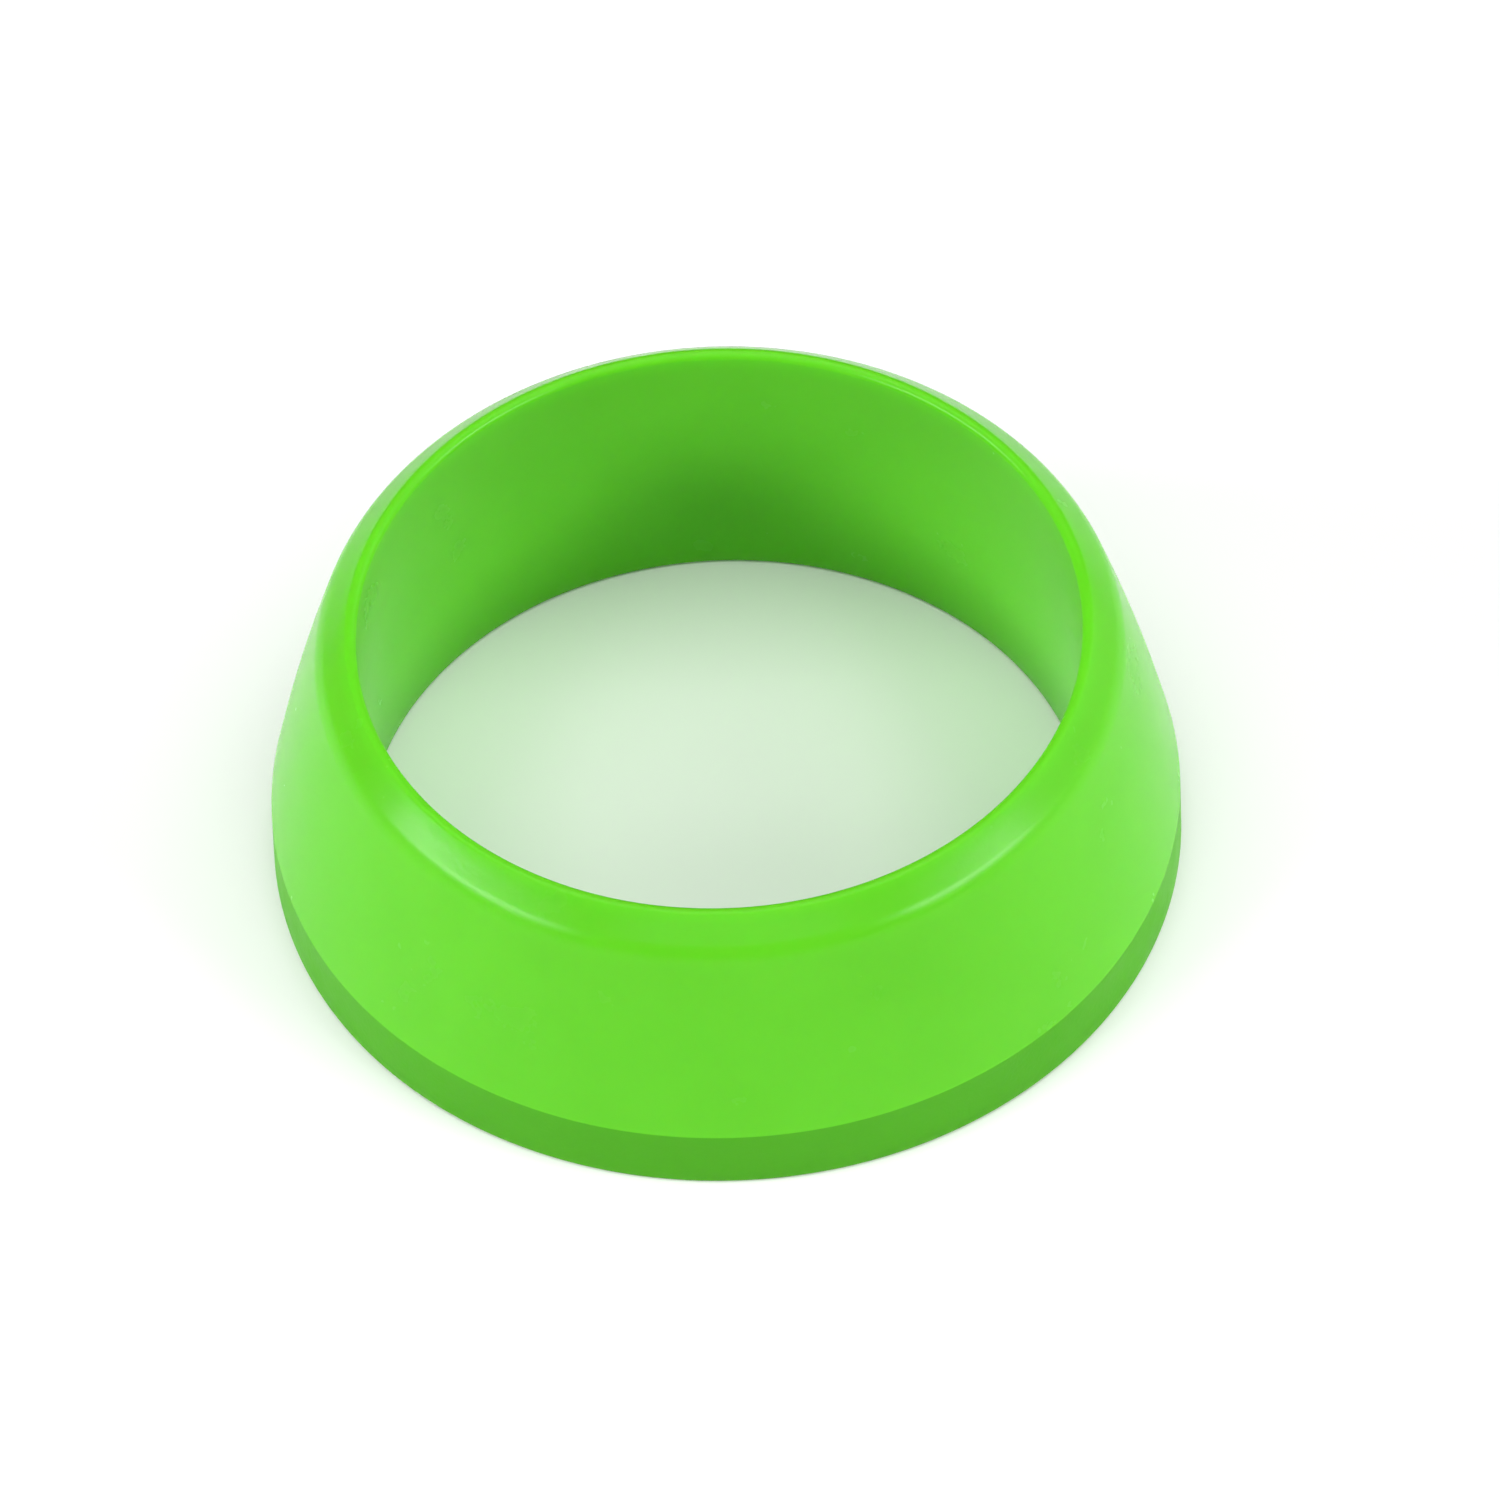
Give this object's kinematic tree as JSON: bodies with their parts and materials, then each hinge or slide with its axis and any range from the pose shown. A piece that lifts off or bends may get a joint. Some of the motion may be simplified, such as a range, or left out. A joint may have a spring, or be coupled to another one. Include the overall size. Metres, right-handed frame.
{
  "type": "racket vibration dampener",
  "caption": "Soft silicone ring with a coned outside, an upright foot band, a domed rim and a plain round bore, stretched over a racket to damp vibration.",
  "frame": {"origin": "centre of the foot face, on the bore's axis", "axes": "+Z along the bore's axis, from the wide foot to the narrow lip; X and Y are free, because the ring is round"},
  "size_m": [0.032, 0.032, 0.0111],
  "materials": {
    "silicone": "satin moulded silicone, fresh green"
  },
  "bodies": {
    "root": {"damper_ring": "silicone"}
  },
  "joints": []
}
